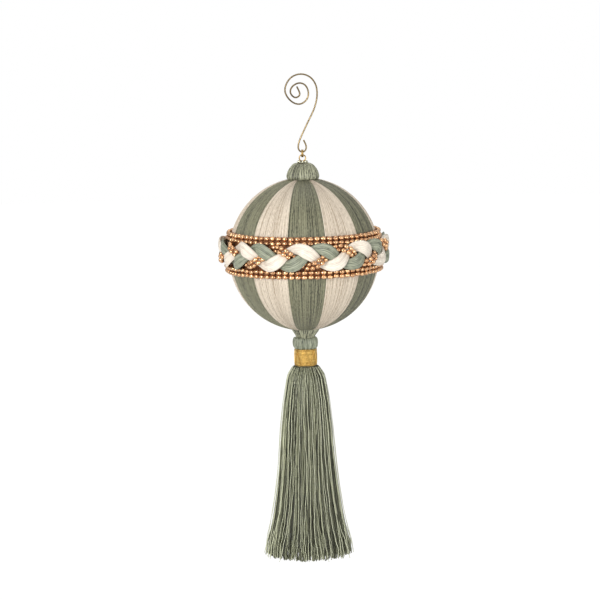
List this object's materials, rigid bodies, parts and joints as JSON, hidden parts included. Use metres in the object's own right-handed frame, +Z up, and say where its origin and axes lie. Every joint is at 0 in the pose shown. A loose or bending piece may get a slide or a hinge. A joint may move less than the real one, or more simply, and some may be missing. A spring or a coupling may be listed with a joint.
{
  "type": "thread-wrapped ball ornament with tassel",
  "caption": "Thread-wrapped ball ornament with green and ivory stripes, a plaited and beaded belt, a long thread tassel and a gilt spiral hook.",
  "frame": {"origin": "The hanging point: the inner side of the top of the hook's outer turn, where it rests on a twig or peg. The ball and the tassel hang on the vertical line through it.", "axes": "+Z is up, along the ball's and the tassel's common axis. The hook lies in the XZ plane, the pictured front faces -Y, and +X is to the right in the picture."},
  "size_m": [0.114, 0.114, 0.3234],
  "materials": {
    "hook_wire": "gilt wire, slightly aged, glossy",
    "gold_wire": "bright gilt wire",
    "silver_bead": "small metallic beads, glossy",
    "foam": "light moulded foam, matte",
    "silk_green": "wound silk thread with a soft sheen",
    "silk_ivory": "wound silk thread with a soft sheen",
    "ribbon": "woven ribbon under the beadwork",
    "copper_bead": "metallic copper lustre, glossy",
    "satin_ivory": "satin thread wrapped around a padded strand",
    "satin_green": "satin thread wrapped around a padded strand",
    "gold_thread": "metallic gold thread",
    "tassel_thread": "loose silk tassel thread"
  },
  "bodies": {
    "hook": {"wire_hook": "hook_wire"},
    "link": {"link_ring": "gold_wire"},
    "ornament": {"eye_pin": "gold_wire", "cap_beads": "silver_bead", "knob_core": "foam", "knob_thread": "silk_green", "foam_core": "foam", "belt_ribbon": "ribbon", "bead_row_top": "copper_bead", "bead_row_upper": "copper_bead", "bead_row_lower": "copper_bead", "bead_row_bottom": "copper_bead", "braid_ivory": "satin_ivory", "braid_green": "satin_green", "braid_beads": "copper_bead", "neck_thread": "silk_green", "tassel_collar": "satin_green", "tassel_head": "tassel_thread", "pin_stop": "gold_wire", "gold_binding": "gold_thread", "gold_stitches": "gold_thread", "tassel_inner": "tassel_thread", "tassel_locks": "tassel_thread", "silk_green_1": "silk_green", "silk_ivory_1": "silk_ivory", "silk_green_2": "silk_green", "silk_ivory_2": "silk_ivory", "silk_green_3": "silk_green", "silk_ivory_3": "silk_ivory", "silk_green_4": "silk_green", "silk_ivory_4": "silk_ivory", "silk_green_5": "silk_green", "silk_ivory_5": "silk_ivory", "silk_green_6": "silk_green", "silk_ivory_6": "silk_ivory"}
  },
  "joints": [
    {"name": "link_swing", "type": "hinge", "parent": "hook", "child": "link", "pos_m": [0, 0, -0.051], "axis": [1, 0, 0], "range_deg": [-60, 60]},
    {"name": "ornament_swing", "type": "hinge", "parent": "link", "child": "ornament", "pos_m": [0, 0, -0.05433], "axis": [0, 1, 0], "range_deg": [-60, 60]}
  ]
}
